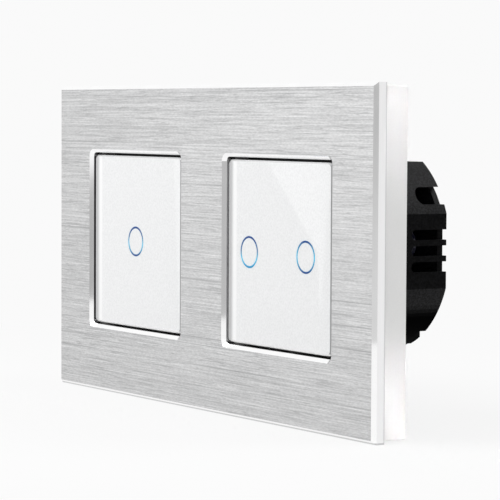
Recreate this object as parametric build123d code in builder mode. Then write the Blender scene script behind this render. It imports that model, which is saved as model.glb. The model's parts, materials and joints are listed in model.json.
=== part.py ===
from build123d import *
import os
from math import cos, pi, sin, sqrt

os.makedirs("parts", exist_ok=True)

# Touch light switch: two touch modules in one double wall frame.
# X points right, Z up and Y into the wall. The origin is the centre of the frame on the wall.

# Frame, which reaches past the yokes by the same margin on every side
module_pitch = 71.0
frame_margin = 7.7
frame_depth = 9.8

# Face plate, a milled aluminium sheet with a polished bevel round its edge and windows
plate_thickness = 3.2
plate_bevel = 0.95
window_size = 48.6
window_corner = 1.2

# Base frame, the moulding behind the plate
base_inset = 0.7
base_corner = 0.6
base_front_wall = 1.8
base_skirt = 2.2
base_window_step = 0.2
base_window_rib = 1.8
base_tie_rib = 1.4

# Glass panel of each insert
glass_set_back = 0.65
glass_gap = 0.7
glass_thickness = 2.5
glass_corner = 1.4
glass_edge_round = 0.9

# Insert tray behind the glass
tray_inset = 0.3
tray_wall = 1.2
tray_deck = 1.0
tray_corner = 1.1
tray_flange_thickness = 1.0
tray_foot_size = 4.0

# Light guides, lamps and touch springs of each key
key_spread = 0.75
guide_outer_radius = 4.7
guide_inner_radius = 3.4
lamp_length = 1.6
lamp_width = 1.0
lamp_height = 0.7
spring_radius = 2.2
spring_wire = 0.4
spring_turns = 2

# Touch board, between the tray's feet and the cradle's pads
touch_gap = 2.2
touch_board_thickness = 1.0
board_fit = 0.2

# Cradle, the black cover that holds the yoke to the housing
cradle_corner = 1.4
cradle_pad_height = 0.5
cradle_pad_length = 16.0
cradle_pad_width = 2.0
cradle_skirt_gap = 6.7
cradle_skirt_wall = 1.4

# Steel yoke with slots for the wall box screws
yoke_gap = 0.4
yoke_thickness = 1.5
yoke_corner_cut = 6.0
yoke_opening_fit = 0.2
box_slot_edge = 5.3
box_slot_length = 7.5
box_slot_width = 3.6
yoke_key_radius = 2.0
yoke_key_offset = 19.0

# Rear housing
housing_depth = 25.2
housing_overhang = 2.2
housing_rise = 1.4
housing_side_cut = 1.7
housing_top_cut = 4.4
housing_wall = 1.6
rear_plate_thickness = 1.6
vent_width = 2.56
vent_pitch = 4.0
vent_rise = 0.1
vent_start = 14.45
vent_count = 3
latch_low = 13.0
latch_high = 17.3
latch_start = 17.2
round_share = 0.49
rim_notch_inner = 14.1
rim_notch_outer = 16.5
rim_notch_depth = 2.3
wire_notch_width = 4.6
wire_notch_depth = 1.0
plate_panel_width = 26.0
plate_panel_height = 13.0
plate_panel_depth = 0.3
plate_panel_rise = 9.0

# Screws that hold the cradle, yoke and housing together
housing_screw_edge = 3.024
housing_screw_radius = 1.1
housing_screw_head_radius = 1.95
housing_screw_end_gap = 0.75
housing_screw_slot_width = 0.6
housing_screw_slot_depth = 0.5
boss_radius = 2.3
screw_fit = 0.05
yoke_hole_fit = 0.2

# Boards and small parts in the housing, within the room behind the power board
board_room = 17.0
power_board_thickness = 1.6
power_board_fit = 0.5
header_width = 10.2
header_height = 2.5
header_rise = 11.0
header_fit = 0.6
capacitor_radius = 4.0
capacitor_end_gap = 4.5
capacitor_rise = 3.0
capacitor_edge_round = 0.6
capacitor_score = 0.4

# Relays
relay_width = 10.2
relay_length = 18.4
relay_end_gap = 2.0
relay_wall = 0.7
relay_side = 5.4
relay_fit = 0.1
relay_base_thickness = 0.8
relay_iron = 1.0
relay_iron_width = 6.0
relay_iron_floor = 0.8
relay_leg_inset = 0.5
relay_head_space = 2.3
coil_flange = 0.8
coil_flange_size = 8.2
coil_radius = 3.8
coil_axis_to_hinge = 5.0
core_radius = 1.5
pole_radius = 2.4
pole_thickness = 0.4
pole_gap = 0.6
armature_thickness = 0.8
armature_length = 10.0
armature_tail = 0.9
hinge_gap = 0.05
blade_thickness = 0.2
blade_width = 3.0
contact_radius = 1.0
contact_edge = 2.9
contact_height = 1.0
contact_gap = 0.8
contact_tower_size = 2.6

# Terminals
terminal_pitch = 8.0
terminal_margin = 0.8
block_wall_gap = 0.358
block_height = 9.6
cavity_width = 5.8
cavity_height = 7.2
cage_fit_side = 0.15
cage_fit_end = 0.2
cage_floor_gap = 1.4
cage_end_gap = 0.8
cage_wall = 0.9
cage_nut_wall = 1.8
clamp_gap = 0.6
clamp_room = 1.9
wire_hole_radius = 1.5
wire_port_radius = 1.8
wire_spout_wall = 1.0
wire_spout_gap = 0.2
bar_thickness = 0.8
bar_fit = 0.2
bar_leg_gap = 0.2
head_pocket_depth = 2.0
block_rear_wall = 2.0
terminal_screw_radius = 1.5
terminal_screw_head_radius = 2.0
terminal_screw_head_height = 1.6
terminal_screw_fit = 0.05
terminal_screw_slot_width = 0.7
terminal_screw_slot_depth = 0.9
head_pocket_fit = 0.2
head_port_fit = 0.3
screw_tip_gap = 0.1
screw_seat_gap = 0.05

# One overrun for all cuts
overrun = 1.0

# Sizes of the modules' steel yokes and of the frame round them
yoke_size = module_pitch - yoke_gap
frame_height = yoke_size + 2 * frame_margin
frame_width = frame_height + module_pitch

# Depths along Y, from the front of the frame to the rear of the housings
front_y = -frame_depth
plate_rear_y = front_y + plate_thickness
base_wall_y = plate_rear_y + base_front_wall
glass_front_y = front_y + glass_set_back
glass_rear_y = glass_front_y + glass_thickness
deck_rear_y = glass_rear_y + tray_deck
touch_board_front_y = glass_rear_y + touch_gap
touch_board_rear_y = touch_board_front_y + touch_board_thickness
cradle_front_y = touch_board_rear_y + cradle_pad_height
yoke_front_y = -yoke_thickness
rear_plate_y = housing_depth - rear_plate_thickness
power_board_rear_y = rear_plate_y - board_room
power_board_front_y = power_board_rear_y - power_board_thickness

# Sizes that follow from those above
base_window_size = window_size + 2 * base_window_step
key_offset = window_size / 4 + key_spread
housing_radius = window_size / 2 + housing_overhang
housing_side = housing_radius - housing_side_cut
housing_top = housing_radius - housing_top_cut
housing_screw_place = (housing_radius - housing_screw_edge) / sqrt(2)
cradle_skirt_radius = housing_radius - cradle_skirt_gap
glass_size = window_size - 2 * glass_gap
tray_size = glass_size - 2 * tray_inset
tray_inner_size = tray_size - 2 * tray_wall
tray_flange_size = base_window_size - 2 * tray_inset
inner_board_size = tray_inner_size - 2 * board_fit
opening_radius = cradle_skirt_radius + yoke_opening_fit
half_spacing = yoke_size / 2 - box_slot_edge
housing_screw_length = power_board_front_y - housing_screw_end_gap - cradle_front_y
housing_screw_places = [
    (sx * housing_screw_place, housing_rise + sz * housing_screw_place)
    for sx in (-1, 1)
    for sz in (-1, 1)
]
capacitor_length = board_room - capacitor_end_gap
relay_height = board_room - relay_end_gap
capacitor_place = (relay_side + relay_width / 2 + housing_side - housing_wall) / 2

# Sizes of the terminals: a cage closes on the bar by its travel, and the block has room for that
terminal_places = [index * terminal_pitch for index in (-1, 0, 1)]
block_width = len(terminal_places) * terminal_pitch + 2 * terminal_margin
block_drop = sqrt((housing_radius - housing_wall) ** 2 - (block_width / 2) ** 2)
block_low_z = housing_rise - block_drop + block_wall_gap
terminal_rise = block_low_z + block_height / 2
bar_end_z = block_low_z + block_height + bar_leg_gap + bar_thickness
relay_rise = (bar_end_z + housing_rise + housing_top - housing_wall) / 2
cavity_end_y = rear_plate_y - head_pocket_depth - block_rear_wall
cage_y = power_board_rear_y + cage_floor_gap
cage_frame = cage_wall + clamp_gap + bar_thickness + clamp_room + cage_nut_wall
cage_travel = (cavity_end_y - cage_end_gap - cage_y - cage_frame) / 2
cage_depth = cage_frame + cage_travel
wire_space = clamp_gap + cage_travel
cage_width = cavity_width - 2 * cage_fit_side
cage_height = cavity_height - 2 * cage_fit_end
wire_y = cage_y + cage_wall + wire_space / 2
bar_y = cage_y + cage_wall + wire_space
bar_width = cage_width - 2 * cage_wall - 2 * bar_fit


def plane_at(x, y, z=0.0):
    """A plane parallel to the wall: its x is X, its y is Z, and it faces the viewer."""
    return Plane(origin=(x, y, z), x_dir=(1, 0, 0), z_dir=(0, -1, 0))


def side_plane(x):
    """A plane square to X: its x is Y and its y is Z."""
    return Plane(origin=(x, 0, 0), x_dir=(0, 1, 0), z_dir=(1, 0, 0))


def level_plane(x, z):
    """A plane square to Z, centred on x: its x is X and its y is Y."""
    return Plane(origin=(x, 0, z), x_dir=(1, 0, 0), z_dir=(0, 0, 1))


def save(piece, label):
    """Name a finished piece and write its file."""
    piece.part.label = label
    export_step(piece.part, f"parts/{label}.step")


def housing_outline(inset):
    """The housing's outline, drawn in the open sketch: a circle cut flat at both sides and the top."""
    low = housing_radius - inset
    high = housing_top - inset
    with Locations((0, housing_rise)):
        Circle(low)
    with Locations((0, housing_rise + (high - low) / 2)):
        Rectangle(2 * (housing_side - inset), high + low, mode=Mode.INTERSECT)


# The frame, which lifts off the modules as one
module_centres = [(-module_pitch / 2, 0), (module_pitch / 2, 0)]

with BuildPart() as face_plate:
    with BuildSketch(plane_at(0, plate_rear_y)):
        Rectangle(frame_width, frame_height)
        with Locations(*module_centres):
            RectangleRounded(window_size, window_size, window_corner, mode=Mode.SUBTRACT)
    extrude(amount=plate_thickness)
    chamfer(face_plate.faces().sort_by(Axis.Y)[0].edges(), plate_bevel)
save(face_plate, "face_plate")

base_width = frame_width - 2 * base_inset
base_height = frame_height - 2 * base_inset
rib_size = base_window_size + 2 * base_window_rib
rib_reach = yoke_front_y - base_wall_y
tie_spacing = module_pitch / 2
with BuildPart() as base_frame:
    with BuildSketch(plane_at(0, 0)):
        RectangleRounded(base_width, base_height, base_corner)
    extrude(amount=-plate_rear_y)
    with BuildSketch(plane_at(0, 0)):
        Rectangle(base_width - 2 * base_skirt, base_height - 2 * base_skirt)
    extrude(amount=-base_wall_y, mode=Mode.SUBTRACT)
    with BuildSketch(plane_at(0, yoke_front_y)):
        with Locations(*module_centres):
            Rectangle(rib_size, rib_size)
        with Locations(*[(x, 0) for x in (-tie_spacing, tie_spacing)]):
            Rectangle(base_tie_rib, base_height - base_skirt)
        Rectangle(base_width - base_skirt, base_tie_rib)
    extrude(amount=rib_reach)
    with BuildSketch(plane_at(0, 0)):
        with Locations(*module_centres):
            RectangleRounded(base_window_size, base_window_size, window_corner)
    extrude(amount=frame_depth, mode=Mode.SUBTRACT)
save(base_frame, "base_frame")


def coil_points(step):
    """A point of the touch spring's centre line and its direction, one quarter turn for each step."""
    turn = step * pi / 2
    rise = spring_pitch / (2 * pi)
    place = Vector(spring_radius * cos(turn), rise * turn, spring_radius * sin(turn))
    heading = Vector(-spring_radius * sin(turn), rise, spring_radius * cos(turn)).normalized()
    return place, heading


spring_pitch = (touch_gap - spring_wire - 2 * screw_fit) / spring_turns
print(f"touch spring: least gap between turns {spring_pitch - spring_wire:.2f} mm")

for side, centre, keys, relays in (
    ("left", -module_pitch / 2, [0.0], [-relay_side]),
    ("right", module_pitch / 2, [-key_offset, key_offset], [-relay_side, relay_side]),
):
    # Glass panel with rounded edges
    with BuildPart() as glass_panel:
        with BuildSketch(plane_at(centre, glass_rear_y)):
            RectangleRounded(glass_size, glass_size, glass_corner)
        extrude(amount=glass_thickness)
        fillet(glass_panel.faces().sort_by(Axis.Y)[0].edges(), glass_edge_round)
    save(glass_panel, f"{side}_glass_panel")

    # Insert tray: a deck glued to the glass, walls and a flange down to the yoke, and feet on the board
    foot_place = (inner_board_size - tray_foot_size) / 2
    with BuildPart() as insert_tray:
        with BuildSketch(plane_at(centre, yoke_front_y)):
            RectangleRounded(tray_size, tray_size, tray_corner)
        extrude(amount=yoke_front_y - glass_rear_y)
        with BuildSketch(plane_at(centre, yoke_front_y)):
            RectangleRounded(tray_flange_size, tray_flange_size, tray_corner)
        extrude(amount=tray_flange_thickness)
        with BuildSketch(plane_at(centre, yoke_front_y)):
            Rectangle(tray_inner_size, tray_inner_size)
        extrude(amount=yoke_front_y - deck_rear_y, mode=Mode.SUBTRACT)
        with BuildSketch(plane_at(centre, touch_board_front_y)):
            with GridLocations(2 * foot_place, 2 * foot_place, 2, 2):
                Rectangle(tray_foot_size, tray_foot_size)
        extrude(amount=touch_board_front_y - deck_rear_y)
        with BuildSketch(plane_at(centre, deck_rear_y)):
            with Locations(*[(key, 0) for key in keys]):
                Circle(guide_outer_radius + screw_fit)
        extrude(amount=tray_deck, mode=Mode.SUBTRACT)
    save(insert_tray, f"{side}_insert_tray")

    # A light guide and a contact spring for each key
    for number, key in enumerate(keys, 1):
        ending = f"_{number}" if len(keys) > 1 else ""
        with BuildPart() as light_guide:
            with BuildSketch(plane_at(centre + key, touch_board_front_y - lamp_height)):
                Circle(guide_outer_radius)
                Circle(guide_inner_radius, mode=Mode.SUBTRACT)
            extrude(amount=touch_gap - lamp_height)
        save(light_guide, f"{side}_light_guide{ending}")

        spring_start = Vector(centre + key, glass_rear_y + spring_wire / 2 + screw_fit, 0)
        with BuildPart() as touch_spring:
            with BuildLine() as coil:
                for step in range(4 * spring_turns):
                    start, start_heading = coil_points(step)
                    end, end_heading = coil_points(step + 1)
                    chord = end - start
                    along = chord.dot(start_heading + end_heading)
                    spread = 2 * (1 - start_heading.dot(end_heading))
                    reach = (sqrt(along**2 + spread * chord.dot(chord)) - along) / spread
                    middle = (start + end + (start_heading - end_heading) * reach) * 0.5
                    middle_heading = end - start - (start_heading + end_heading) * reach
                    TangentArc(spring_start + start, spring_start + middle, tangent=start_heading)
                    TangentArc(spring_start + middle, spring_start + end, tangent=middle_heading)
            with BuildSketch(Plane(origin=coil.line @ 0, z_dir=coil.line % 0)):
                Circle(spring_wire / 2)
            sweep()
        save(touch_spring, f"{side}_touch_spring{ending}")

    # Small lamps on the board under the two sides of each light guide
    lamp_ring = (guide_outer_radius + guide_inner_radius) / 2
    with BuildPart() as leds:
        with BuildSketch(plane_at(centre, touch_board_front_y)):
            with Locations(*[(key + s * lamp_ring, 0) for key in keys for s in (-1, 1)]):
                Rectangle(lamp_width, lamp_length)
        extrude(amount=lamp_height)
    save(leds, f"{side}_leds")

    # Touch board
    with BuildPart() as touch_board:
        with BuildSketch(plane_at(centre, touch_board_rear_y)):
            RectangleRounded(inner_board_size, inner_board_size, cradle_corner)
        extrude(amount=touch_board_thickness)
    save(touch_board, f"{side}_touch_board")

    # Cradle: a plate with pads in front, and a round skirt through the yoke down to the power board
    pad_place = (inner_board_size - cradle_pad_width) / 2
    with BuildPart() as cradle:
        with BuildSketch(plane_at(centre, yoke_front_y)):
            RectangleRounded(inner_board_size, inner_board_size, cradle_corner)
        extrude(amount=yoke_front_y - cradle_front_y)
        with BuildSketch(plane_at(centre, cradle_front_y)):
            with Locations((0, pad_place), (0, -pad_place)):
                Rectangle(cradle_pad_length, cradle_pad_width)
            with Locations((pad_place, 0), (-pad_place, 0)):
                Rectangle(cradle_pad_width, cradle_pad_length)
        extrude(amount=cradle_pad_height)
        with BuildSketch(plane_at(centre, power_board_front_y)):
            with Locations((0, housing_rise)):
                Circle(cradle_skirt_radius)
                Circle(cradle_skirt_radius - cradle_skirt_wall, mode=Mode.SUBTRACT)
        extrude(amount=power_board_front_y - yoke_front_y)
        with BuildSketch(plane_at(centre, yoke_front_y)):
            with Locations((0, housing_rise + header_rise)):
                Rectangle(header_width + 2 * header_fit, header_height + 2 * header_fit)
        extrude(amount=yoke_front_y - cradle_front_y, mode=Mode.SUBTRACT)
        with Locations(plane_at(centre, cradle_front_y)):
            with Locations(*housing_screw_places):
                CounterSinkHole(
                    housing_screw_radius + screw_fit,
                    housing_screw_head_radius + screw_fit,
                    depth=yoke_front_y - cradle_front_y + overrun,
                )
    save(cradle, f"{side}_cradle")

    # Yoke: a steel plate round the cradle's skirt, with slots for the wall box screws
    with BuildPart() as yoke:
        with BuildSketch(plane_at(centre, 0)) as yoke_outline:
            Rectangle(yoke_size, yoke_size)
            chamfer(yoke_outline.vertices(), yoke_corner_cut)
            with Locations((0, housing_rise)):
                Circle(opening_radius, mode=Mode.SUBTRACT)
            with Locations(*[(s * half_spacing, 0) for s in (-1, 1)]):
                SlotOverall(box_slot_length, box_slot_width, mode=Mode.SUBTRACT)
            with Locations(*[(0, s * half_spacing) for s in (-1, 1)]):
                SlotOverall(box_slot_length, box_slot_width, mode=Mode.SUBTRACT)
            with Locations(*housing_screw_places):
                Circle(housing_screw_radius + yoke_hole_fit, mode=Mode.SUBTRACT)
            with GridLocations(yoke_size, 2 * yoke_key_offset, 2, 2):
                Circle(yoke_key_radius, mode=Mode.SUBTRACT)
        extrude(amount=yoke_thickness)
    save(yoke, f"{side}_yoke")

    # Spouts inside the housing that lead the wires to the terminal block, trimmed within the wall
    with BuildPart() as wire_spouts:
        with BuildSketch(level_plane(centre, block_low_z - wire_spout_gap)):
            with Locations(*[(x, wire_y) for x in terminal_places]):
                Circle(wire_port_radius + wire_spout_wall)
        extrude(amount=-housing_radius)
        with BuildSketch(plane_at(centre, housing_depth)):
            housing_outline(housing_wall / 2)
        extrude(amount=housing_depth, mode=Mode.INTERSECT)

    # Rear housing: side wall with its vents, latch notches and rim notches, bosses, and the rear plate
    vent_middle = housing_rise + vent_rise
    latch_middle = (latch_low + latch_high) / 2
    vent_reach = housing_depth + vent_width + overrun
    with BuildPart() as rear_housing:
        with BuildSketch(plane_at(centre, housing_depth)):
            housing_outline(0)
        extrude(amount=housing_depth)
        with BuildSketch(plane_at(centre, housing_depth)):
            housing_outline(housing_wall)
        extrude(amount=housing_depth, mode=Mode.SUBTRACT)
        with BuildSketch(side_plane(centre)):
            for start, middle, width, pitch, count in (
                (vent_start, vent_middle, vent_width, vent_pitch, vent_count),
                (latch_start, latch_middle, latch_high - latch_low, 0, 1),
            ):
                with Locations(((start + vent_reach) / 2, middle)):
                    with GridLocations(0, pitch, 1, count):
                        RectangleRounded(vent_reach - start, width, width * round_share)
        extrude(amount=housing_side + overrun, both=True, mode=Mode.SUBTRACT)
        add(wire_spouts.part)
        with BuildSketch(level_plane(centre, housing_rise)):
            notch_place = (rim_notch_inner + rim_notch_outer) / 2
            with Locations(*[(s * notch_place, housing_depth) for s in (-1, 1)]):
                Rectangle(rim_notch_outer - rim_notch_inner, 2 * rim_notch_depth)
            with Locations(*[(x, housing_depth) for x in terminal_places]):
                Rectangle(wire_notch_width, 2 * wire_notch_depth)
            with Locations(*[(x, wire_y) for x in terminal_places]):
                Circle(wire_port_radius)
        extrude(amount=-housing_radius - overrun, mode=Mode.SUBTRACT)
        with BuildSketch(plane_at(centre, housing_depth)):
            housing_outline(housing_wall)
        extrude(amount=rear_plate_thickness)
        with BuildSketch(plane_at(centre, power_board_front_y)):
            with Locations(*housing_screw_places):
                Circle(boss_radius)
                Circle(housing_screw_radius + screw_fit, mode=Mode.SUBTRACT)
        extrude(amount=power_board_front_y)
        with BuildSketch(plane_at(centre, housing_depth)):
            with Locations(*[(x, terminal_rise) for x in terminal_places]):
                Circle(terminal_screw_head_radius + head_port_fit)
        extrude(amount=rear_plate_thickness, mode=Mode.SUBTRACT)
        with BuildSketch(plane_at(centre, housing_depth)):
            with Locations((0, plate_panel_rise)):
                Rectangle(plate_panel_width, plate_panel_height)
        extrude(amount=plate_panel_depth, mode=Mode.SUBTRACT)
    save(rear_housing, f"{side}_rear_housing")

    # Countersunk screws from the cradle into the housing's bosses
    with BuildPart() as housing_screws:
        for x, z in housing_screw_places:
            screw_origin = (centre + x, cradle_front_y, z)
            with BuildSketch(Plane(origin=screw_origin, x_dir=(1, 0, 0), z_dir=(0, 0, 1))):
                with BuildLine():
                    Polyline(
                        (0, 0),
                        (housing_screw_head_radius, 0),
                        (housing_screw_radius, housing_screw_head_radius - housing_screw_radius),
                        (housing_screw_radius, housing_screw_length - housing_screw_radius),
                        (0, housing_screw_length),
                        close=True,
                    )
                make_face()
            revolve(axis=Axis((centre + x, 0, z), (0, 1, 0)))
        with BuildSketch(plane_at(centre, cradle_front_y)):
            with Locations(*housing_screw_places):
                Rectangle(2 * housing_screw_head_radius, housing_screw_slot_width)
        extrude(amount=-housing_screw_slot_depth, mode=Mode.SUBTRACT)
    save(housing_screws, f"{side}_housing_screws")

    # Power board, on the bosses and the cradle's skirt
    with BuildPart() as power_board:
        with BuildSketch(plane_at(centre, power_board_rear_y)):
            housing_outline(housing_wall + power_board_fit)
        extrude(amount=power_board_thickness)
    save(power_board, f"{side}_power_board")

    # Pin header between the boards
    with BuildPart() as pin_header:
        with BuildSketch(plane_at(centre, power_board_front_y)):
            with Locations((0, housing_rise + header_rise)):
                Rectangle(header_width, header_height)
        extrude(amount=power_board_front_y - touch_board_rear_y)
    save(pin_header, f"{side}_pin_header")

    # Smoothing capacitor, standing on the board
    with BuildPart() as capacitor:
        capacitor_end_y = power_board_rear_y + capacitor_length
        with BuildSketch(plane_at(centre + capacitor_place, capacitor_end_y, capacitor_rise)):
            Circle(capacitor_radius)
        extrude(amount=capacitor_length)
        fillet(capacitor.edges().sort_by(Axis.Y)[-1], capacitor_edge_round)
        with BuildSketch(plane_at(centre + capacitor_place, capacitor_end_y, capacitor_rise)):
            Rectangle(capacitor_radius, capacitor_score)
            Rectangle(capacitor_score, capacitor_radius)
        extrude(amount=capacitor_score, mode=Mode.SUBTRACT)
    save(capacitor, f"{side}_capacitor")

    # Relays, each with its cover, wound base, iron frame and tilting armature
    for number, place in enumerate(relays, 1):
        ending = f"_{number}" if len(relays) > 1 else ""
        middle_x = centre + place
        leg_z = relay_rise + relay_length / 2 - relay_wall - relay_leg_inset
        hinge_z = leg_z - relay_iron
        coil_z = hinge_z - coil_axis_to_hinge
        tower_z = relay_rise - relay_length / 2 + relay_wall + contact_edge
        with BuildPart() as relay_cover:
            with BuildSketch(plane_at(middle_x, power_board_rear_y + relay_height, relay_rise)):
                Rectangle(relay_width, relay_length)
            extrude(amount=relay_height)
            with BuildSketch(plane_at(middle_x, power_board_rear_y, relay_rise)):
                Rectangle(relay_width - 2 * relay_wall, relay_length - 2 * relay_wall)
            extrude(amount=relay_wall - relay_height, mode=Mode.SUBTRACT)
        save(relay_cover, f"{side}_relay_cover{ending}")

        base_top_y = power_board_rear_y + relay_base_thickness
        iron_top_y = base_top_y + relay_iron_floor
        blade_top_y = power_board_rear_y + relay_height - relay_wall - relay_head_space
        armature_y = blade_top_y - blade_thickness - armature_thickness
        pole_top_y = armature_y - pole_gap
        coil_top_y = pole_top_y - pole_thickness
        coil_height = coil_top_y - iron_top_y
        base_inner_width = relay_width - 2 * relay_wall - 2 * relay_fit
        base_inner_length = relay_length - 2 * relay_wall - 2 * relay_fit
        contact_top_y = armature_y + armature_thickness - contact_height - contact_gap
        with BuildPart() as relay_coil:
            with BuildSketch(plane_at(middle_x, base_top_y, relay_rise)):
                Rectangle(base_inner_width, base_inner_length)
            extrude(amount=relay_base_thickness)
            with BuildSketch(plane_at(middle_x, iron_top_y, coil_z)):
                Rectangle(coil_flange_size, coil_flange_size)
                Rectangle(relay_iron_width + 2 * relay_fit, coil_flange_size, mode=Mode.SUBTRACT)
            extrude(amount=relay_iron_floor)
            for flange_y in (iron_top_y + coil_flange, coil_top_y):
                with BuildSketch(plane_at(middle_x, flange_y, coil_z)):
                    Rectangle(coil_flange_size, coil_flange_size)
                extrude(amount=coil_flange)
            with BuildSketch(plane_at(middle_x, coil_top_y, coil_z)):
                Circle(coil_radius)
            extrude(amount=coil_height)
            with BuildSketch(plane_at(middle_x, contact_top_y, tower_z)):
                Rectangle(contact_tower_size, contact_tower_size)
            extrude(amount=contact_top_y - base_top_y)
            with BuildSketch(plane_at(middle_x, coil_top_y, coil_z)):
                Circle(core_radius + screw_fit)
            extrude(amount=coil_height, mode=Mode.SUBTRACT)
        save(relay_coil, f"{side}_relay_coil{ending}")

        leg_top_y = armature_y - hinge_gap
        foot_low_z = coil_z - core_radius - relay_iron
        with BuildPart() as relay_frame:
            with BuildSketch(plane_at(middle_x, iron_top_y, (foot_low_z + leg_z) / 2)):
                Rectangle(relay_iron_width, leg_z - foot_low_z)
            extrude(amount=relay_iron_floor)
            with BuildSketch(plane_at(middle_x, leg_top_y, leg_z - relay_iron / 2)):
                Rectangle(relay_iron_width, relay_iron)
            extrude(amount=leg_top_y - base_top_y)
            with BuildSketch(plane_at(middle_x, coil_top_y, coil_z)):
                Circle(core_radius)
            extrude(amount=coil_height)
            with BuildSketch(plane_at(middle_x, pole_top_y, coil_z)):
                Circle(pole_radius)
            extrude(amount=pole_thickness)
        save(relay_frame, f"{side}_relay_frame{ending}")

        armature_top_y = armature_y + armature_thickness
        blade_high_z = hinge_z - armature_length / 2
        blade_low_z = tower_z - contact_radius
        with BuildPart() as relay_armature:
            with BuildSketch(
                plane_at(middle_x, armature_top_y, hinge_z + (armature_tail - armature_length) / 2)
            ):
                Rectangle(relay_iron_width, armature_length + armature_tail)
            extrude(amount=armature_thickness)
            with BuildSketch(plane_at(middle_x, blade_top_y, (blade_high_z + blade_low_z) / 2)):
                Rectangle(blade_width, blade_high_z - blade_low_z)
            extrude(amount=blade_thickness)
            with BuildSketch(plane_at(middle_x, armature_top_y, tower_z)):
                Circle(contact_radius)
            extrude(amount=contact_height)
        save(relay_armature, f"{side}_relay_armature{ending}")

    # Terminal block: an open-backed moulding with a cavity for each clamp cage
    cavity_low_z = terminal_rise - cavity_height / 2
    with BuildPart() as terminal_block:
        with BuildSketch(plane_at(centre, rear_plate_y, terminal_rise)):
            Rectangle(block_width, block_height)
        extrude(amount=rear_plate_y - power_board_rear_y)
        with BuildSketch(plane_at(centre, cavity_end_y, terminal_rise)):
            with Locations(*[(x, 0) for x in terminal_places]):
                Rectangle(cavity_width, cavity_height)
        extrude(amount=cavity_end_y - power_board_rear_y, mode=Mode.SUBTRACT)
        with BuildSketch(plane_at(centre, rear_plate_y, terminal_rise)):
            with Locations(*[(x, 0) for x in terminal_places]):
                Circle(terminal_screw_head_radius + head_pocket_fit)
        extrude(amount=head_pocket_depth, mode=Mode.SUBTRACT)
        with BuildSketch(plane_at(centre, rear_plate_y, terminal_rise)):
            with Locations(*[(x, 0) for x in terminal_places]):
                Circle(terminal_screw_radius + terminal_screw_fit)
        extrude(amount=rear_plate_y - cavity_end_y, mode=Mode.SUBTRACT)
        with BuildSketch(level_plane(centre, block_low_z)):
            with Locations(*[(x, wire_y) for x in terminal_places]):
                Circle(wire_hole_radius)
        extrude(amount=cavity_low_z - block_low_z, mode=Mode.SUBTRACT)
        with BuildSketch(level_plane(centre, terminal_rise + cavity_height / 2)):
            with Locations(*[(x, bar_y + bar_thickness / 2) for x in terminal_places]):
                Rectangle(bar_width + 2 * bar_fit, bar_thickness + 2 * bar_fit)
        extrude(amount=(block_height - cavity_height) / 2, mode=Mode.SUBTRACT)
    save(terminal_block, f"{side}_terminal_block")

    # Fixed contact bars: a strip through each cage, with a leg down to the board above the block
    bar_low_z = cavity_low_z + cage_fit_end
    with BuildPart() as terminal_bars:
        for x in terminal_places:
            with BuildSketch(side_plane(centre + x - bar_width / 2)):
                with BuildLine():
                    Polyline(
                        (bar_y, bar_low_z),
                        (bar_y + bar_thickness, bar_low_z),
                        (bar_y + bar_thickness, bar_end_z),
                        (power_board_rear_y, bar_end_z),
                        (power_board_rear_y, bar_end_z - bar_thickness),
                        (bar_y, bar_end_z - bar_thickness),
                        close=True,
                    )
                make_face()
            extrude(amount=bar_width)
    save(terminal_bars, f"{side}_terminal_bars")

    # Clamp cages and their screws
    head_seat_y = rear_plate_y - head_pocket_depth + screw_seat_gap
    screw_tip_y = bar_y + bar_thickness + screw_tip_gap
    for number, place in enumerate(terminal_places, 1):
        middle_x = centre + place
        with BuildPart() as clamp_cage:
            with BuildSketch(plane_at(middle_x, cage_y + cage_depth, terminal_rise)):
                Rectangle(cage_width, cage_height)
            extrude(amount=cage_depth)
            with BuildSketch(plane_at(middle_x, cage_y + cage_depth - cage_nut_wall, terminal_rise)):
                Rectangle(cage_width - 2 * cage_wall, cage_height)
            extrude(amount=cage_depth - cage_nut_wall - cage_wall, mode=Mode.SUBTRACT)
            with BuildSketch(plane_at(middle_x, cage_y + cage_depth, terminal_rise)):
                Circle(terminal_screw_radius + terminal_screw_fit)
            extrude(amount=cage_nut_wall, mode=Mode.SUBTRACT)
        save(clamp_cage, f"{side}_clamp_cage_{number}")

        with BuildPart() as terminal_screw:
            with BuildSketch(
                plane_at(middle_x, head_seat_y + terminal_screw_head_height, terminal_rise)
            ):
                Circle(terminal_screw_head_radius)
            extrude(amount=terminal_screw_head_height)
            with BuildSketch(plane_at(middle_x, head_seat_y, terminal_rise)):
                Circle(terminal_screw_radius)
            extrude(amount=head_seat_y - screw_tip_y)
            with BuildSketch(
                plane_at(middle_x, head_seat_y + terminal_screw_head_height, terminal_rise)
            ):
                Rectangle(2 * terminal_screw_head_radius, terminal_screw_slot_width)
            extrude(amount=terminal_screw_slot_depth, mode=Mode.SUBTRACT)
        save(terminal_screw, f"{side}_terminal_screw_{number}")
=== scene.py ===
import json
from math import cos, pi, radians, sin

import bmesh
import bpy
from mathutils import Matrix, Vector


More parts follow.
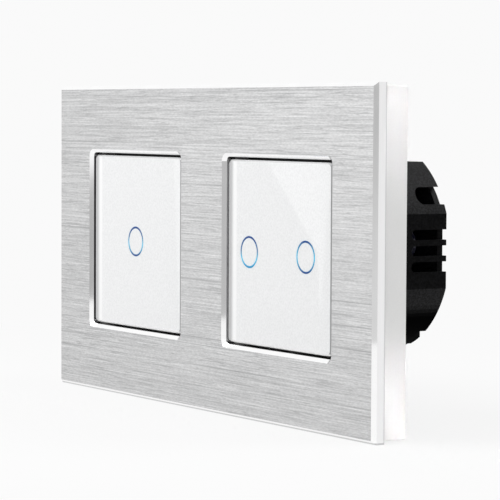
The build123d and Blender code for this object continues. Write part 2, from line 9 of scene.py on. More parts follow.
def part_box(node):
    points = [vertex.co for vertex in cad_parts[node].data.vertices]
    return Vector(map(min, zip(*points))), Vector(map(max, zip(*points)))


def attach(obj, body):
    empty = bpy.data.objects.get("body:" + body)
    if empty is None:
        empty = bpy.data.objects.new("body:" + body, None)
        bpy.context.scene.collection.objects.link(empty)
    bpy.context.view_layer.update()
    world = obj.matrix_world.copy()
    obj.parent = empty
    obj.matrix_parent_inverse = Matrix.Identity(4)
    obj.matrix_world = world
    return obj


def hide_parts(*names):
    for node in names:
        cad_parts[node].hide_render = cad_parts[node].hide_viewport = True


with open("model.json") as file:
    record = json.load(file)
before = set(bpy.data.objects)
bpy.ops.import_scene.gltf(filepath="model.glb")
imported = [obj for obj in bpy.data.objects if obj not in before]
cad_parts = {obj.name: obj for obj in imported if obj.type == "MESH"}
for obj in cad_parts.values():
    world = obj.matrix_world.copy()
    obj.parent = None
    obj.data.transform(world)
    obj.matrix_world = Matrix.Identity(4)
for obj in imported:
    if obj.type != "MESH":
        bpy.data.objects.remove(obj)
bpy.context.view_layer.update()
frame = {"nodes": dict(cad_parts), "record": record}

MM = 0.001

# Places taken from the CAD nodes, in millimetres: X right, Z up, Y into the wall
GLASS_LOW, GLASS_HIGH = (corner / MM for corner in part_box("right_glass_panel"))
PLATE_LOW, PLATE_HIGH = (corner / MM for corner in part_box("face_plate"))
MODULE_X = (GLASS_LOW.x + GLASS_HIGH.x) / 2
GLASS_FRONT = GLASS_LOW.y
GLASS_REAR = GLASS_HIGH.y
GLASS_SIZE = GLASS_HIGH.x - GLASS_LOW.x
PLATE_REAR = PLATE_HIGH.y
FLOOR_LEVEL = PLATE_LOW.z

# Touch rings: their places on the glass and the section of the lit line
KEY_OFFSET = 12.9
RING_PLACES = {
    "left_touch_ring": -MODULE_X,
    "right_touch_ring_1": MODULE_X - KEY_OFFSET,
    "right_touch_ring_2": MODULE_X + KEY_OFFSET,
}
RING_RISE = 0.1
RING_RADIUS = 3.85
RING_LINE = 0.54
RING_HEIGHT = 0.05
RING_SIDES = 8
RING_STEPS = 120
RING_GLOW_REACH = 1.1

# Glass panels: a square with a narrow flat chamfer and a low curve at its left and right edges
GLASS_CORNER = 1.4
GLASS_CHAMFER = 0.4
GLASS_EDGE_WIDTH = 5.0
GLASS_EDGE_DEPTH = 0.35
GLASS_EDGE_STRIPS = 10
GLASS_CORNER_STEPS = 10
GLASS_REAR_ROUND = 0.3
GLASS_REAR_STEPS = 5

# Plate: painted shade along its rear arris and low rim, as distances at which it starts and is full
PAINTED_ARRIS_SHADE = (0.30, 0.12)
PAINTED_LOW_RIM_SHADE = (0.50, 0.38)

# Plate: upright walls nearer to its middle than this are the windows', and the left ones get painted
# shade
WINDOWS_REACH = (GLASS_HIGH.x + PLATE_HIGH.x) / 2
MIDDLE_WIDTH = 1.0

# Camera, found from the frame's corners and window edges in the photograph
CAMERA_PLACE = Vector((539.947, -340.205, 34.978))
CAMERA_RIGHT = Vector((0.53902656, 0.84227371, 0.00503611))
CAMERA_UP = Vector((-0.04974325, 0.02586421, 0.99842709))
CAMERA_BACK = Vector((0.84081863, -0.53842924, 0.05583893))
CAMERA_LENS = 173.36
CAMERA_SENSOR = 36.0
CAMERA_NEAR = 10.0
CAMERA_FAR = 100000.0

# Studio: tones of the background, of what surfaces reflect, and of the light all round
BACKGROUND = 0.955
REFLECTED_WHITE = 1.0
REFLECTED_RIGHT = 0.90
RIGHT_DIRECTION = (0.84, 0.54, -0.04)
RIGHT_EDGE = (0.90, 0.97)
AMBIENT = 0.70

# The greyer room in front, seen in reflections alone: a diamond round one direction
FRONT_TURN = 35.5
FRONT_RISE = -0.045
FRONT_TILT = 0.07
FRONT_HALF_WIDTH = 0.20
FRONT_HALF_HEIGHT = 0.068
FRONT_EDGE = (1.10, 0.88)
FRONT_TONES = (0.50, 0.67)
FRONT_LEVELS = (0.0, -0.08)
FRONT_LEVEL_SLOPE = 1.5
FRONT_LEFT = (-0.08, -0.11)
FRONT_LEFT_TONE = 0.86

# Floor: its own tones near the object, and where it fades into the background
FLOOR_RADIUS = 315.0
FLOOR_SIDES = 128
FLOOR_NEAR = 100.0
FLOOR_FAR = 260.0
FLOOR_MATT = 0.62
FLOOR_FAINT = 0.14
FLOOR_GLOW = 0.81

# Lamps: place, target, side of the square, power and, for the narrow ones, spread in degrees
LAMPS = {
    "key_lamp": ((-250, -540, 620), (0, 0, 0), 500, 3.45),
    "fill_lamp": ((420, -60, 330), (60, 0, 0), 260, 0.15),
    "rear_lamp": ((260, 330, 430), (35, 15, 0), 240, 0.72),
}
NARROW_LAMPS = {
    "upper_side_lamp": ((330, 40, 190), (78, -2, 44), 30, 0.0014, 7),
    "lower_side_lamp": ((330, 40, 0), (78, -2, -38), 30, 0.0014, 6),
}
SOFT_BOX_EDGE = ((-259.4, -200.6, 12.6), (-233.5, -206.2, -16.5))
SOFT_BOX_SIZE = 110.0
SOFT_BOX_POWER = 0.026


def grey(tone):
    return (tone, tone, tone)


def add_object(name, data):
    made = bpy.data.objects.new(name, data)
    bpy.context.scene.collection.objects.link(made)
    return made


def add_mesh(name, form, material):
    mesh = bpy.data.meshes.new(name)
    form.to_mesh(mesh)
    form.free()
    mesh.materials.append(material)
    return add_object(name, mesh)


class Tree:
    """Short calls for a node tree: add a node, join two sockets."""

    def __init__(self, tree):
        self.nodes = tree.nodes
        self.links = tree.links

    def add(self, kind, **settings):
        node = self.nodes.new(kind)
        for name, value in settings.items():
            setattr(node, name, value)
        return node

    def join(self, output, target):
        self.links.new(output, target)

    def math(self, operation, first, second=None, clamp=False):
        node = self.add("ShaderNodeMath", operation=operation, use_clamp=clamp)
        for index, value in enumerate((first, second)):
            if value is None:
                continue
            if isinstance(value, (int, float)):
                node.inputs[index].default_value = value
            else:
                self.join(value, node.inputs[index])
        return node.outputs[0]

    def mixed(self, first, second, share):
        """Two values added up, the second with this share of the sum."""
        first = self.math("MULTIPLY", first, 1.0 - share)
        return self.math("ADD", first, self.math("MULTIPLY", second, share))

    def spread(self, value, low, high, to_low=0.0, to_high=1.0, smooth=False):
        """The value's range from low to high, brought to another range and held at its ends."""
        node = self.add("ShaderNodeMapRange")
        if smooth:
            node.interpolation_type = "SMOOTHSTEP"
        self.join(value, node.inputs["Value"])
        node.inputs["From Min"].default_value = low
        node.inputs["From Max"].default_value = high
        node.inputs["To Min"].default_value = to_low
        node.inputs["To Max"].default_value = to_high
        return node.outputs["Result"]

    def blend(self, factor, first, second):
        """A colour between two others, each one a tuple or an output."""
        node = self.add("ShaderNodeMix", data_type="RGBA")
        self.join(factor, node.inputs["Factor"])
        for name, value in (("A", first), ("B", second)):
            socket = [s for s in node.inputs if s.name == name and s.type == "RGBA"][0]
            if isinstance(value, tuple):
                socket.default_value = (*value, 1.0)
            else:
                self.join(value, socket)
        return [s for s in node.outputs if s.type == "RGBA"][0]

    def mix_shaders(self, factor, first, second):
        node = self.add("ShaderNodeMixShader")
        self.join(factor, node.inputs[0])
        self.join(first, node.inputs[1])
        self.join(second, node.inputs[2])
        return node.outputs[0]

    def along(self, vector, direction):
        node = self.add("ShaderNodeVectorMath", operation="DOT_PRODUCT")
        self.join(vector, node.inputs[0])
        node.inputs[1].default_value = Vector(direction).normalized()
        return node.outputs["Value"]

    def axes(self, vector):
        """X, Y and Z of a vector."""
        node = self.add("ShaderNodeSeparateXYZ")
        self.join(vector, node.inputs[0])
        return node.outputs

    def facing(self, kind):
        """X, Y and Z of the surface's direction."""
        return self.axes(self.add("ShaderNodeNewGeometry").outputs[kind])

    def spot(self):
        """X, Y and Z of the place on the object."""
        return self.axes(self.add("ShaderNodeTexCoord").outputs["Object"])

    def place(self, scale):
        coords = self.add("ShaderNodeTexCoord")
        mapping = self.add("ShaderNodeMapping")
        mapping.inputs["Scale"].default_value = scale
        self.join(coords.outputs["Object"], mapping.inputs["Vector"])
        return mapping.outputs["Vector"]

    def noise(self, size_mm, detail=3.0, roughness=0.5, stretch=(1.0, 1.0, 1.0), offset=0.0):
        per_metre = 1000.0 / size_mm
        vector = self.place(tuple(per_metre / part for part in stretch))
        node = self.add("ShaderNodeTexNoise", noise_dimensions="4D")
        self.join(vector, node.inputs["Vector"])
        node.inputs["W"].default_value = offset
        node.inputs["Scale"].default_value = 1.0
        node.inputs["Detail"].default_value = detail
        node.inputs["Roughness"].default_value = roughness
        return node.outputs["Fac"]

    def seen_directly(self, path):
        """One for what the camera, a reflection or a clear piece shows, nothing for lighting."""
        seen = self.math("MAXIMUM", path.outputs["Is Camera Ray"], path.outputs["Is Glossy Ray"])
        return self.math("MAXIMUM", seen, path.outputs["Is Transmission Ray"])


# Studio

def make_camera():
    data = bpy.data.cameras.new("camera")
    data.lens = CAMERA_LENS
    data.sensor_width = CAMERA_SENSOR
    data.sensor_fit = "HORIZONTAL"
    data.clip_start = CAMERA_NEAR * MM
    data.clip_end = CAMERA_FAR * MM
    camera = add_object("camera", data)
    axes = Matrix((CAMERA_RIGHT, CAMERA_UP, CAMERA_BACK)).transposed().to_4x4()
    camera.matrix_world = Matrix.Translation(CAMERA_PLACE * MM) @ axes
    bpy.context.scene.camera = camera


def front_room(tree, direction, tone):
    """The tone with the greyer room in it: lighter toward its foot, darker at its left end."""
    turn = radians(FRONT_TURN)
    ahead = tree.along(direction, (sin(turn), -cos(turn), 0.0))
    aside = tree.along(direction, (cos(turn), sin(turn), 0.0))
    above = tree.along(direction, (0.0, 0.0, 1.0))
    level = tree.math("SUBTRACT", above, tree.math("MULTIPLY", aside, FRONT_LEVEL_SLOPE))
    level = tree.spread(level, *FRONT_LEVELS, *FRONT_TONES)
    level = tree.math("MULTIPLY", level, tree.spread(aside, *FRONT_LEFT, 1.0, FRONT_LEFT_TONE))
    middle = tree.math("ADD", tree.math("MULTIPLY", aside, FRONT_TILT), FRONT_RISE)
    above = tree.math("DIVIDE", tree.math("SUBTRACT", above, middle), FRONT_HALF_HEIGHT)
    aside = tree.math("DIVIDE", tree.math("ABSOLUTE", aside), FRONT_HALF_WIDTH)
    away = tree.math("ADD", aside, tree.math("ABSOLUTE", above))
    zone = tree.math("MULTIPLY", tree.spread(away, *FRONT_EDGE, smooth=True),
                     tree.math("GREATER_THAN", ahead, 0.0))
    return tree.blend(zone, tone, level)


def make_world():
    """White all round. Reflections also meet a greyer room in front and at the right."""
    world = bpy.data.worlds.new("studio")
    bpy.context.scene.world = world
    world.use_nodes = True
    world.node_tree.nodes.clear()
    tree = Tree(world.node_tree)
    path = tree.add("ShaderNodeLightPath")
    direction = tree.add("ShaderNodeTexCoord").outputs["Generated"]
    right = tree.spread(tree.along(direction, RIGHT_DIRECTION), *RIGHT_EDGE, smooth=True)
    tone = tree.blend(right, grey(REFLECTED_WHITE), grey(REFLECTED_RIGHT))
    tone = front_room(tree, direction, tone)
    tone = tree.blend(path.outputs["Is Camera Ray"], tone, grey(BACKGROUND))
    shown = tree.add("ShaderNodeBackground")
    tree.join(tone, shown.inputs["Color"])
    lit = tree.add("ShaderNodeBackground")
    lit.inputs["Color"].default_value = (*grey(1.0), 1.0)
    lit.inputs["Strength"].default_value = AMBIENT
    surface = tree.mix_shaders(tree.seen_directly(path), lit.outputs[0], shown.outputs[0])
    output = tree.add("ShaderNodeOutputWorld")
    tree.join(surface, output.inputs["Surface"])


def floor_material():
    """White, with a faint shadow of the object that ends before the floor's edge."""
    material = bpy.data.materials.new("floor")
    material.use_nodes = True
    material.node_tree.nodes.clear()
    tree = Tree(material.node_tree)
    path = tree.add("ShaderNodeLightPath")
    matt = tree.add("ShaderNodeBsdfDiffuse")
    matt.inputs["Color"].default_value = (*grey(FLOOR_MATT), 1.0)
    faint = tree.add("ShaderNodeBsdfDiffuse")
    faint.inputs["Color"].default_value = (*grey(FLOOR_FAINT), 1.0)
    glow = tree.add("ShaderNodeEmission")
    glow.inputs["Color"].default_value = (*grey(1.0), 1.0)
    glow.inputs["Strength"].default_value = FLOOR_GLOW
    near = tree.add("ShaderNodeAddShader")
    tree.join(faint.outputs[0], near.inputs[0])
    tree.join(glow.outputs[0], near.inputs[1])
    plain = tree.add("ShaderNodeEmission")
    plain.inputs["Color"].default_value = (*grey(BACKGROUND), 1.0)
    coords = tree.add("ShaderNodeTexCoord")
    length = tree.add("ShaderNodeVectorMath", operation="LENGTH")
    tree.join(coords.outputs["Object"], length.inputs[0])
    far = tree.spread(length.outputs["Value"], FLOOR_NEAR * MM, FLOOR_FAR * MM, smooth=True)
    shown = tree.mix_shaders(far, near.outputs[0], plain.outputs[0])
    surface = tree.mix_shaders(tree.seen_directly(path), matt.outputs[0], shown)
    output = tree.add("ShaderNodeOutputMaterial")
    tree.join(surface, output.inputs["Surface"])
    return material


def make_floor():
    form = bmesh.new()
    bmesh.ops.create_circle(form, cap_ends=True, segments=FLOOR_SIDES, radius=FLOOR_RADIUS * MM)
    floor = add_mesh("floor", form, floor_material())
    floor.location = (0.0, 0.0, FLOOR_LEVEL * MM)


def add_lamp(name, size, power, placing):
    data = bpy.data.lights.new(name, "AREA")
    data.shape = "SQUARE"
    data.size = size * MM
    data.energy = power
    lamp = add_object(name, data)
    lamp.matrix_world = placing
    lamp.visible_camera = False
    return lamp


def make_lamp(name, place, target, size, power):
    place = Vector(place) * MM
    target = Vector(target) * MM
    facing = (place - target).to_track_quat("Z", "Y")
    return add_lamp(name, size, power, Matrix.Translation(place) @ facing.to_matrix().to_4x4())


def make_narrow_lamp(name, place, target, size, power, spread):
    lamp = make_lamp(name, place, target, size, power)
    lamp.data.spread = radians(spread)
    lamp.visible_glossy = False


def make_soft_box():
    """A square lamp at the left. The right glass shows its lower edge as a slanted line."""
    first = Vector(SOFT_BOX_EDGE[0])
    second = Vector(SOFT_BOX_EDGE[1])
    middle = (first + second) / 2
    along = (first - second).normalized()
    toward_glass = Vector((MODULE_X, GLASS_FRONT, 0.0)) - middle
    upward = toward_glass.cross(along).normalized()
    centre = middle + upward * (SOFT_BOX_SIZE / 2)
    axes = Matrix((along, -upward, upward.cross(along))).transposed().to_4x4()
    add_lamp("soft_box", SOFT_BOX_SIZE, SOFT_BOX_POWER, Matrix.Translation(centre * MM) @ axes)


def make_lamps():
    for name, lamp in LAMPS.items():
        make_lamp(name, *lamp)
    for name, lamp in NARROW_LAMPS.items():
        make_narrow_lamp(name, *lamp)
    make_soft_box()


# Materials

def start_material(name, colour, metallic=0.0, roughness=0.5, ior=1.5, specular=0.5):
    material = bpy.data.materials.new(name)
    material.use_nodes = True
    tree = Tree(material.node_tree)
    shader = material.node_tree.nodes["Principled BSDF"]
    shader.inputs["Base Color"].default_value = (*colour, 1.0)
    shader.inputs["Metallic"].default_value = metallic
    shader.inputs["Roughness"].default_value = roughness
    shader.inputs["IOR"].default_value = ior
    shader.inputs["Specular IOR Level"].default_value = specular
    return material, tree, shader


def add_bump(tree, shader, height, distance_mm):
    bump = tree.add("ShaderNodeBump")
    bump.inputs["Strength"].default_value = 1.0
    bump.inputs["Distance"].default_value = distance_mm * MM
    tree.join(height, bump.inputs["Height"])
    tree.join(bump.outputs["Normal"], shader.inputs["Normal"])


def grained(name, dark, light, metallic, rough, grain_mm, bump_mm):
    """A surface with fine grain, slower patches of colour, and roughness that follows both."""
    material, tree, shader = start_material(name, light, metallic, rough[0])
    grain = tree.noise(grain_mm)
    patches = tree.noise(9.0, detail=2.0, offset=3.7)
    mixed = tree.mixed(grain, patches, 0.35)
    tree.join(tree.blend(tree.spread(mixed, 0.3, 0.7), dark, light), shader.inputs["Base Color"])
    tree.join(tree.spread(mixed, 0.3, 0.7, *rough), shader.inputs["Roughness"])
    add_bump(tree, shader, grain, bump_mm)
    return material


def brushed_streaks(tree):
    """Long streaks along X, with a share of short grain."""
    long_streaks = tree.noise(0.32, detail=4.0, roughness=0.72, stretch=(80.0, 1.0, 1.0))
    grain = tree.noise(0.26, detail=2.0, stretch=(4.0, 1.0, 1.0), offset=5.1)
    return tree.mixed(long_streaks, grain, 0.32)


def brushed_tone(tree, streaks):
    """Tone of the brushed face: streaks, thin dark lines, slow patches and a few scratches."""
    dark = (0.375, 0.377, 0.381)
    light = (0.77, 0.77, 0.772)
    line = (0.30, 0.302, 0.306)
    patch = (0.60, 0.60, 0.603)
    contour = tree.noise(0.85, detail=2.0, roughness=0.6, stretch=(48.0, 1.0, 1.0), offset=2.6)
    off_line = tree.math("ABSOLUTE", tree.math("SUBTRACT", contour, 0.5))
    patches = tree.noise(60.0, detail=1.0, stretch=(2.0, 1.0, 0.6), offset=9.3)
    scratches = tree.noise(0.6, detail=1.0, stretch=(130.0, 1.0, 1.0), offset=7.7)
    tone = tree.blend(tree.spread(streaks, 0.32, 0.66), dark, light)
    tone = tree.blend(tree.spread(off_line, 0.004, 0.022, 0.50, 0.0), tone, line)
    tone = tree.blend(tree.spread(patches, 0.35, 0.65, 0.0, 0.15), tone, patch)
    scratches = tree.math("MULTIPLY", tree.spread(scratches, 0.645, 0.70), 0.45)
    return tree.blend(scratches, tone, line)


def polished_tone(tree, polish, side):
    """Tone of the polished edges, with painted shade along the rear arris and low rim, darkest on the
    left window's upright walls.
    """
    spot = tree.spot()
    tone = tree.blend(tree.spread(polish, 0.3, 0.7), (0.955, 0.955, 0.957), (0.985, 0.985, 0.987))
    tone = tree.blend(tree.math("MULTIPLY", side, 0.9), tone, (0.905, 0.905, 0.908))
    # Painted shade: a dark line along the plate's rear arris, where it meets the base
    arris = tree.spread(spot["Y"], *((PLATE_REAR - inset) * MM for inset in PAINTED_ARRIS_SHADE))
    tone = tree.blend(tree.math("MULTIPLY", arris, 0.6), tone, (0.36, 0.36, 0.365))
    # Painted shade: a darker line along the low rim, where the plate meets the floor
    low_rim = tree.spread(spot["Z"], *((FLOOR_LEVEL + inset) * MM for inset in PAINTED_LOW_RIM_SHADE))
    tone = tree.blend(tree.math("MULTIPLY", low_rim, 0.9), tone, (0.56, 0.56, 0.565))
    # Painted shade: the left window's upright walls are made nearly black, like walls in the shadow of
    # the gap
    inside = tree.math("LESS_THAN", tree.math("ABSOLUTE", spot["X"]), WINDOWS_REACH * MM)
    left = tree.spread(spot["X"], 0.0, MIDDLE_WIDTH * MM, 0.9, 0.0)
    walls = tree.math("MULTIPLY", tree.math("MULTIPLY", inside, left), side)
    return tree.blend(walls, tone, (0.05, 0.05, 0.052))


def brushed_aluminium():
    """Streaks along X on the face, polished bevels and edges elsewhere."""
    material, tree, shader = start_material("brushed_aluminium", (0.62, 0.62, 0.625), 1.0, 0.35)
    streaks = brushed_streaks(tree)
    polish = tree.noise(7.0, detail=1.0, offset=1.9)
    facing = tree.facing("True Normal")
    flat = tree.math("GREATER_THAN", tree.math("ABSOLUTE", facing["Y"]), 0.98)
    side = tree.math("GREATER_THAN", tree.math("ABSOLUTE", facing["X"]), 0.98)
    tone = tree.blend(flat, polished_tone(tree, polish, side), brushed_tone(tree, streaks))
    tree.join(tone, shader.inputs["Base Color"])
    face_rough = tree.spread(streaks, 0.25, 0.75, 0.36, 0.48)
    edge_rough = tree.spread(polish, 0.3, 0.7, 0.03, 0.06)
    edge_rough = tree.math("ADD", edge_rough, tree.math("MULTIPLY", side, 0.25))
    face_rough = tree.math("MULTIPLY", face_rough, flat)
    edge_rough = tree.math("MULTIPLY", edge_rough, tree.math("SUBTRACT", 1.0, flat))
    tree.join(tree.math("ADD", face_rough, edge_rough), shader.inputs["Roughness"])
    add_bump(tree, shader, tree.math("MULTIPLY", streaks, flat), 0.012)
    return material


def black_plastic():
    """Finely textured walls, with painted shade where they turn under, and smooth dark flats at the
    sides.
    """
    material, tree, shader = start_material("black_plastic", (0.012, 0.012, 0.013), 0.0, 0.5, 1.5, 0.12)
    grain = tree.noise(0.50, roughness=0.6)
    mixed = tree.mixed(grain, tree.noise(8.0, detail=2.0, offset=3.7), 0.15)
    factor = tree.spread(mixed, 0.42, 0.60)
    tone = tree.blend(factor, (0.0002, 0.0002, 0.0003), (0.0165, 0.0165, 0.0178))
    facing = tree.facing("True Normal")
    side = tree.math("GREATER_THAN", tree.math("ABSOLUTE", facing["X"]), 0.995)
    # Painted shade: faces that turn downward get a near-black colour and a weaker reflection
    under = tree.spread(facing["Z"], -0.49, -0.64, smooth=True)
    # One mask holds both the smooth side flats and the painted shade underneath
    plain = tree.math("MAXIMUM", tree.math("MULTIPLY", side, 0.70), under)
    tree.join(tree.blend(plain, tone, (0.0007, 0.0007, 0.0008)), shader.inputs["Base Color"])
    tree.join(tree.spread(plain, 0.0, 1.0, 0.10, 0.01), shader.inputs["Specular IOR Level"])
    tree.join(tree.spread(mixed, 0.3, 0.7, 0.42, 0.58), shader.inputs["Roughness"])
    tree.join(tree.spread(under, 0.0, 1.0, 1.5, 1.22), shader.inputs["IOR"])
    add_bump(tree, shader, grain, 0.04)
    return material


def ring_glow(tree):
    """Strongest under each lit line and gone a little way from it."""
    position = tree.add("ShaderNodeNewGeometry").outputs["Position"]
    nearest = None
    for place in RING_PLACES.values():
        away = tree.add("ShaderNodeVectorMath", operation="DISTANCE")
        tree.join(position, away.inputs[0])
        away.inputs[1].default_value = (place * MM, GLASS_FRONT * MM, RING_RISE * MM)
        value = away.outputs["Value"]
        nearest = value if nearest is None else tree.math("MINIMUM", nearest, value)
    off_line = tree.math("ABSOLUTE", tree.math("SUBTRACT", nearest, RING_RADIUS * MM))
    return tree.spread(off_line, 0.0, RING_GLOW_REACH * MM, 0.22, 0.0, smooth=True)


def white_glass():
    """White backed glass: fine grain, a faint blue glow at the rings, and painted highlights and shade
    along its edges.
    """
    material, tree, shader = start_material("white_glass", (0.86, 0.865, 0.87), 0.0, 0.02, 1.52)
    fine = tree.noise(0.5)
    slow = tree.noise(14.0, detail=2.0, offset=2.2)
    tone = tree.blend(tree.spread(fine, 0.3, 0.7), (0.81, 0.815, 0.82), (0.91, 0.915, 0.92))
    tone = tree.blend(ring_glow(tree), tone, (0.55, 0.72, 0.88))
    facing = tree.facing("Normal")
    # Painted highlights (the near-white rows) and painted shade (the grey rows), set by the surface's
    # direction: axis, start, end, share and colour
    edges = (
        ("X", -0.010, -0.032, 0.8, (0.97, 0.97, 0.97)),
        ("X", -0.055, -0.110, 0.85, (0.40, 0.405, 0.41)),
        ("X", 0.45, 0.60, 1.0, (0.40, 0.405, 0.41)),
        ("Z", -0.45, -0.60, 1.0, (0.98, 0.98, 0.98)),
        ("Z", 0.45, 0.60, 0.9, (0.58, 0.585, 0.59)),
    )
    for axis, start, end, most, shade in edges:
        factor = tree.spread(facing[axis], start, end, 0.0, most, smooth=True)
        tone = tree.blend(factor, tone, shade)
    tree.join(tone, shader.inputs["Base Color"])
    tree.join(tree.spread(slow, 0.3, 0.7, 0.012, 0.03), shader.inputs["Roughness"])
    add_bump(tree, shader, fine, 0.0002)
    return material


def ring_light(name, stops):
    """Lit line of a touch ring. The stops give its colour from the top down."""
    material, tree, shader = start_material(name, stops[0][1], 0.0, 0.3, 1.5, 0.2)
    height = tree.spread(tree.spot()["Z"], RING_RADIUS * MM, -RING_RADIUS * MM)
    speckle = tree.noise(0.3, detail=2.0)
    mixed = tree.math("ADD", height, tree.spread(speckle, 0.3, 0.7, -0.04, 0.04), clamp=True)
    ramp = tree.add("ShaderNodeValToRGB")
    while len(ramp.color_ramp.elements) < len(stops):
        ramp.color_ramp.elements.new(0.5)
    for element, (position, colour) in zip(ramp.color_ramp.elements, stops):
        element.position = position
        element.color = (*colour, 1.0)
    tree.join(mixed, ramp.inputs["Fac"])
    tree.join(ramp.outputs["Color"], shader.inputs["Base Color"])
    tree.join(ramp.outputs["Color"], shader.inputs["Emission Color"])
    shader.inputs["Emission Strength"].default_value = 0.12
    tree.join(tree.spread(speckle, 0.3, 0.7, 0.25, 0.35), shader.inputs["Roughness"])
    add_bump(tree, shader, speckle, 0.004)
    return material


def circuit_board():
    """Solder resist with a faint pattern of tracks under it."""
    material, tree, shader = start_material("circuit_board", (0.03, 0.19, 0.09), 0.0, 0.28)
    tracks = tree.add("ShaderNodeTexBrick")
    tree.join(tree.place((420.0, 420.0, 420.0)), tracks.inputs["Vector"])
    tracks.inputs["Color1"].default_value = (0.02, 0.14, 0.065, 1.0)
    tracks.inputs["Color2"].default_value = (0.03, 0.20, 0.095, 1.0)
    tracks.inputs["Mortar"].default_value = (0.05, 0.30, 0.14, 1.0)
    tracks.inputs["Scale"].default_value = 1.0
    tracks.inputs["Mortar Size"].default_value = 0.06
    grain = tree.noise(0.4)
    factor = tree.spread(grain, 0.3, 0.7, 0.0, 0.35)
    tone = tree.blend(factor, tracks.outputs["Color"], (0.015, 0.11, 0.05))
    tree.join(tone, shader.inputs["Base Color"])
    tree.join(tree.spread(grain, 0.3, 0.7, 0.22, 0.38), shader.inputs["Roughness"])
    add_bump(tree, shader, tracks.outputs["Fac"], 0.03)
    return material


def clear_guide():
    """Clear plastic with a faint blue tint."""
    material, tree, shader = start_material("clear_guide", (0.70, 0.84, 0.95), 0.0, 0.12, 1.49)
    grain = tree.noise(0.6, detail=2.0)
    tone = tree.blend(tree.spread(grain, 0.3, 0.7), (0.62, 0.80, 0.95), (0.78, 0.88, 0.96))
    tree.join(tone, shader.inputs["Base Color"])
    tree.join(tree.spread(grain, 0.3, 0.7, 0.08, 0.18), shader.inputs["Roughness"])
    shader.inputs["Transmission Weight"].default_value = 0.7
    add_bump(tree, shader, grain, 0.004)
    return material


def coil_winding():
    """Fine varnished turns side by side along Z."""
    material, tree, shader = start_material("coil_winding", (0.45, 0.17, 0.05), 0.6, 0.3)
    turns = tree.add("ShaderNodeTexWave", wave_type="BANDS", bands_direction="Z")
    tree.join(tree.place((1000.0, 1000.0, 1000.0)), turns.inputs["Vector"])
    turns.inputs["Scale"].default_value = 1.2
    turns.inputs["Distortion"].default_value = 0.15
    grain = tree.noise(0.7, detail=2.0)
    tone = tree.blend(turns.outputs["Fac"], (0.22, 0.07, 0.02), (0.58, 0.24, 0.07))
    tone = tree.blend(tree.spread(grain, 0.3, 0.7, 0.0, 0.3), tone, (0.35, 0.12, 0.03))
    tree.join(tone, shader.inputs["Base Color"])
    tree.join(tree.spread(grain, 0.3, 0.7, 0.24, 0.36), shader.inputs["Roughness"])
    add_bump(tree, shader, turns.outputs["Fac"], 0.06)
    return material


def make_materials():
    """Materials by the slot names of the record."""
    made = {
        "brushed_aluminium": brushed_aluminium(),
        "white_glass": white_glass(),
        "circuit_board": circuit_board(),
        "clear_guide": clear_guide(),
        "coil_winding": coil_winding(),
        "black_plastic": black_plastic(),
    }
    # Name, darker and lighter colour, metallic share, roughness, size of grain, height of bump
    kinds = (
        ("white_plastic", (0.78, 0.78, 0.775), (0.82, 0.82, 0.815), 0.0, (0.30, 0.38), 0.35, 0.004),
        ("black_tray", (0.010, 0.010, 0.011), (0.020, 0.020, 0.022), 0.0, (0.50, 0.60), 0.4, 0.01),
        ("lamp_chips", (0.70, 0.62, 0.28), (0.88, 0.84, 0.60), 0.0, (0.25, 0.40), 0.3, 0.004),
        ("relay_plastic", (0.020, 0.055, 0.20), (0.035, 0.085, 0.27), 0.0, (0.26, 0.36), 0.5, 0.006),
        ("capacitor_sleeve", (0.014, 0.014, 0.03), (0.03, 0.03, 0.055), 0.0, (0.22, 0.34), 0.6, 0.006),
        ("terminal_plastic", (0.25, 0.27, 0.28), (0.33, 0.35, 0.36), 0.0, (0.42, 0.55), 0.3, 0.01),
        ("spring_steel", (0.50, 0.50, 0.50), (0.66, 0.66, 0.66), 1.0, (0.20, 0.32), 0.25, 0.002),
        ("yoke_steel", (0.48, 0.49, 0.50), (0.64, 0.65, 0.66), 1.0, (0.26, 0.42), 1.4, 0.004),
        ("screw_steel", (0.52, 0.52, 0.50), (0.68, 0.68, 0.66), 1.0, (0.22, 0.36), 0.3, 0.003),
        ("relay_iron", (0.44, 0.44, 0.44), (0.58, 0.58, 0.58), 1.0, (0.30, 0.44), 0.5, 0.004),
        ("terminal_brass", (0.62, 0.46, 0.19), (0.76, 0.60, 0.29), 1.0, (0.22, 0.36), 0.4, 0.003),
    )
    for name, *values in kinds:
        made[name] = grained(name, *values)
    return made


def dress_nodes(made):
    """Each CAD node gets the material of its own slot in the record."""
    for part in frame["record"]["subparts"]:
        for slot in frame["nodes"][part["node"]].material_slots:
            slot.material = made[part["material_slot"]]


# Touch rings

def make_ring(name, place, material):
    """A thin lit line on the glass, oval in section and half sunk in it."""
    section = []
    for side in range(RING_SIDES):
        turn = 2 * pi * side / RING_SIDES
        section.append((RING_RADIUS + RING_LINE / 2 * cos(turn), RING_HEIGHT / 2 * sin(turn)))
    form = bmesh.new()
    rows = []
    for step in range(RING_STEPS):
        turn = 2 * pi * step / RING_STEPS
        row = []
        for radius, rise in section:
            spot = Vector((radius * sin(turn), -rise, radius * cos(turn)))
            row.append(form.verts.new(spot * MM))
        rows.append(row)
    for step, row in enumerate(rows):
        after = rows[(step + 1) % RING_STEPS]
        for side in range(RING_SIDES):
            other = (side + 1) % RING_SIDES
            face = form.faces.new((row[side], row[other], after[other], after[side]))
            face.smooth = True
    bmesh.ops.recalc_face_normals(form, faces=form.faces)
    ring = add_mesh(name, form, material)
    ring.location = (place * MM, GLASS_FRONT * MM, RING_RISE * MM)
    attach(ring, "modules")


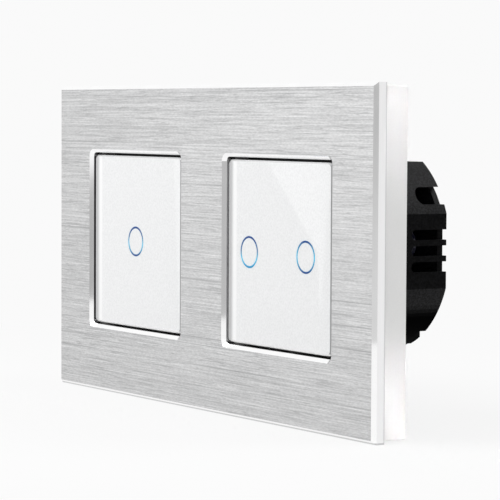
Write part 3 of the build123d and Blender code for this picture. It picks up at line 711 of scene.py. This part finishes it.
def make_rings():
    deep = (0.002, 0.052, 0.23)
    sky = (0.006, 0.26, 0.52)
    pale = (0.08, 0.54, 0.78)
    downward = ((0.0, deep), (0.45, (0.04, 0.15, 0.34)), (0.72, pale), (1.0, sky))
    inward = ((0.0, deep), (0.5, pale), (1.0, deep))
    lower = ((0.0, deep), (0.3, (0.03, 0.12, 0.30)), (0.6, pale), (1.0, deep))
    lights = {
        "right_touch_ring_1": ring_light("ring_light", downward),
        "right_touch_ring_2": ring_light("ring_light_inward", inward),
        "left_touch_ring": ring_light("ring_light_lower", lower),
    }
    for name, place in RING_PLACES.items():
        make_ring(name, place, lights[name])


# Glass panels

def rounded_square(half, radius):
    """Points of a rounded square in X and Z, corner by corner."""
    points = []
    for corner, (sx, sz) in enumerate(((1, 1), (-1, 1), (-1, -1), (1, -1))):
        for step in range(GLASS_CORNER_STEPS + 1):
            turn = (corner + step / GLASS_CORNER_STEPS) * pi / 2
            points.append((sx * (half - radius) + radius * cos(turn),
                           sz * (half - radius) + radius * sin(turn)))
    return points


def glass_outline(inset):
    """The panel's outline: from its right side over the top to the left, and back below.

    Points along its top and bottom are the ends of the front's upright strips."""
    high = GLASS_SIZE / 2 - inset
    corners = rounded_square(high, GLASS_CORNER - inset)
    edge = GLASS_SIZE / 2 - GLASS_CORNER
    strip = (GLASS_EDGE_WIDTH + GLASS_CHAMFER - GLASS_CORNER) / GLASS_EDGE_STRIPS
    between = [edge - strip * step for step in range(1, GLASS_EDGE_STRIPS + 1)]
    between += [-place for place in reversed(between)]
    count = len(corners) // 4
    top = corners[:count] + [(x, high) for x in between] + corners[count:2 * count]
    low = corners[2 * count:3 * count] + [(-x, -high) for x in between] + corners[3 * count:]
    return top + low


def glass_depth(x):
    """The front falls away in a low curve toward the left and right edges."""
    share = 1 - (GLASS_SIZE / 2 - GLASS_CHAMFER - abs(x)) / GLASS_EDGE_WIDTH
    return GLASS_FRONT + GLASS_EDGE_DEPTH * min(max(share, 0.0), 1.0) ** 2


def glass_rows():
    """Rings of points: the rear round, the rim and the chamfer's inner edge."""
    rows = []
    for step in range(GLASS_REAR_STEPS + 1):
        turn = step / GLASS_REAR_STEPS * pi / 2
        inset = GLASS_REAR_ROUND * (1 - sin(turn))
        depth = GLASS_REAR - GLASS_REAR_ROUND * (1 - cos(turn))
        rows.append([(x, depth, z) for x, z in glass_outline(inset)])
    for inset in (0.0, GLASS_CHAMFER):
        back = GLASS_CHAMFER - inset
        rows.append([(x, glass_depth(x) + back, z) for x, z in glass_outline(inset)])
    return rows


def make_glass(side, material):
    """The glass panel: rings of faces for its rim, the last one a flat chamfer, and strips in front."""
    form = bmesh.new()
    rows = [[form.verts.new(Vector(spot) * MM) for spot in row] for row in glass_rows()]
    count = len(rows[0])
    for low, high in zip(rows, rows[1:]):
        for index in range(count):
            after = (index + 1) % count
            face = form.faces.new((low[index], low[after], high[after], high[index]))
            face.smooth = high is not rows[-1]
    form.faces.new(rows[0])
    front = rows[-1]
    for index in range(count // 2 - 1):
        face = form.faces.new((front[index], front[index + 1], front[-2 - index], front[-1 - index]))
        face.smooth = True
    for edge in form.edges:
        edge.smooth = len({face.smooth for face in edge.link_faces}) == 1
    bmesh.ops.recalc_face_normals(form, faces=form.faces)
    piece = add_mesh(f"{side}_glass_face", form, material)
    piece.location.x = (-MODULE_X if side == "left" else MODULE_X) * MM
    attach(piece, "modules")
    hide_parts(f"{side}_glass_panel")


# Scene

make_camera()
make_world()
make_floor()
make_lamps()
materials = make_materials()
dress_nodes(materials)
for side in ("left", "right"):
    make_glass(side, materials["white_glass"])
make_rings()

bpy.context.scene.view_settings.view_transform = "Standard"
